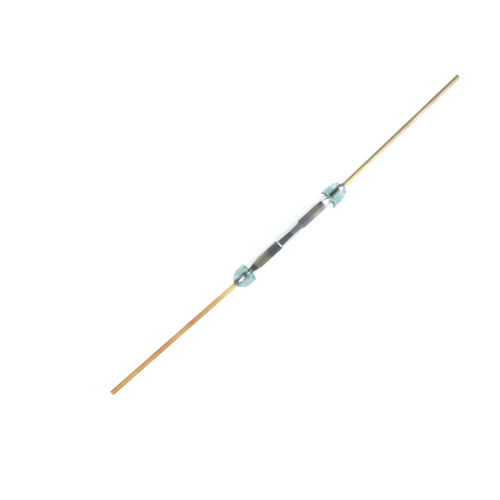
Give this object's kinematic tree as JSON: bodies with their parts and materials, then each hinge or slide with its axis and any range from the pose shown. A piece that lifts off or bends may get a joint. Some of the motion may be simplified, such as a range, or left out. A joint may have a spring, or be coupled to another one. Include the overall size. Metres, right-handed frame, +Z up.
{
  "type": "glass reed switch",
  "caption": "Slim sealed glass capsule with a gold-coloured wire lead at each end and two flat reed blades that overlap inside and close in a magnetic field.",
  "frame": {"origin": "middle of the glass tube, on its axis", "axes": "+X along the tube from reed A to reed B, +Z up through the flat faces of the blades"},
  "size_m": [0.0452, 0.002, 0.002],
  "materials": {
    "sealing_glass": "clear, fire-polished, greenish where it is thick",
    "plated_lead": "gold-coloured plating on drawn wire",
    "reed_blade": "coined nickel-iron, greyer on the contact tongue"
  },
  "bodies": {
    "capsule": {"glass_envelope": "sealing_glass", "lead_a": "plated_lead", "lead_b": "plated_lead"},
    "reed_a": {"blade_a": "reed_blade"},
    "reed_b": {"blade_b": "reed_blade"}
  },
  "joints": [
    {"name": "reed_a_flex", "type": "hinge", "parent": "capsule", "child": "reed_a", "pos_m": [-0.00442, 0, 0], "axis": [0, 1, 0], "range_deg": [0, 0.51], "stiffness_Nm_per_rad": 0.032},
    {"name": "reed_b_flex", "type": "hinge", "parent": "capsule", "child": "reed_b", "pos_m": [0.00442, 0, 0], "axis": [0, 1, 0], "range_deg": [0, 0.51], "stiffness_Nm_per_rad": 0.032}
  ]
}
